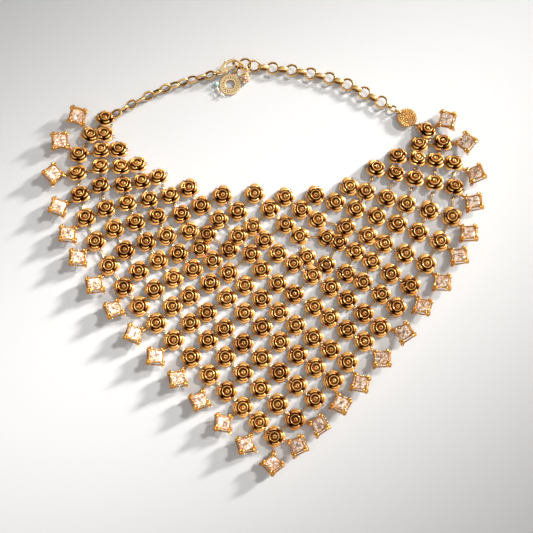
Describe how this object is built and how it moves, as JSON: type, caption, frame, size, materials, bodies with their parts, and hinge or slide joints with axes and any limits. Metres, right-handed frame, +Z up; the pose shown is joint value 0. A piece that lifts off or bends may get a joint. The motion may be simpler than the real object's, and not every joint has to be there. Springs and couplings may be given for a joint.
{
  "type": "bib necklace",
  "caption": "Bib necklace of cast gold roses in a jump ring net, with a fringe of square crystals in claw settings, a link chain, a lobster clasp and small charms.",
  "frame": {"origin": "on the underside of the rose in the middle of the bib, where it rests on the surface", "axes": "+Z up from the surface, +Y from the point of the bib towards the clasp, +X to the right across the bib"},
  "size_m": [0.2497, 0.2344, 0.0086],
  "materials": {
    "rose_gold": "antique gold, dark in the recesses and bright on the petal edges",
    "setting_gold": "antique gold with beaded rails",
    "chain_gold": "satin antique gold",
    "clasp_gold": "pale satin gold",
    "crystal": "faceted, pale peach",
    "turquoise": "glossy pale turquoise"
  },
  "bodies": {
    "necklace": {"rose_net_left": "rose_gold", "rose_net_right": "rose_gold", "crystal_drop_01": "setting_gold", "crystal_drop_02": "setting_gold", "crystal_drop_03": "setting_gold", "crystal_drop_04": "setting_gold", "crystal_drop_05": "setting_gold", "crystal_drop_06": "setting_gold", "crystal_drop_07": "setting_gold", "crystal_drop_08": "setting_gold", "crystal_drop_09": "setting_gold", "crystal_drop_10": "setting_gold", "crystal_drop_11": "setting_gold", "crystal_drop_12": "setting_gold", "crystal_drop_13": "setting_gold", "crystal_drop_14": "setting_gold", "crystal_drop_15": "setting_gold", "crystal_drop_16": "setting_gold", "crystal_drop_17": "setting_gold", "crystal_drop_18": "setting_gold", "crystal_drop_19": "setting_gold", "crystal_drop_20": "setting_gold", "crystal_drop_21": "setting_gold", "crystal_drop_22": "setting_gold", "crystal_drop_23": "setting_gold", "crystal_drop_24": "setting_gold", "crystal_drop_25": "setting_gold", "crystal_drop_26": "setting_gold", "crystal_drop_27": "setting_gold", "crystal_drop_28": "setting_gold", "crystal_drop_29": "setting_gold", "chain_left": "chain_gold", "clasp_ring": "chain_gold", "clasp_body": "clasp_gold", "clasp_link": "chain_gold", "spare_link": "chain_gold", "chain_right": "chain_gold", "textured_disc": "chain_gold", "disc_ring": "chain_gold", "tag_link": "chain_gold", "tag": "clasp_gold", "stone_charm": "turquoise", "ball_charm": "crystal"},
    "clasp_lever": {"clasp_lever": "clasp_gold"}
  },
  "joints": [
    {"name": "clasp_lever_pivot", "type": "hinge", "parent": "necklace", "child": "clasp_lever", "pos_m": [-0.03022, 0.12325, 0.00472], "axis": [0, 0, 1], "range_deg": [0, 20], "stiffness_Nm_per_rad": 0.002}
  ]
}
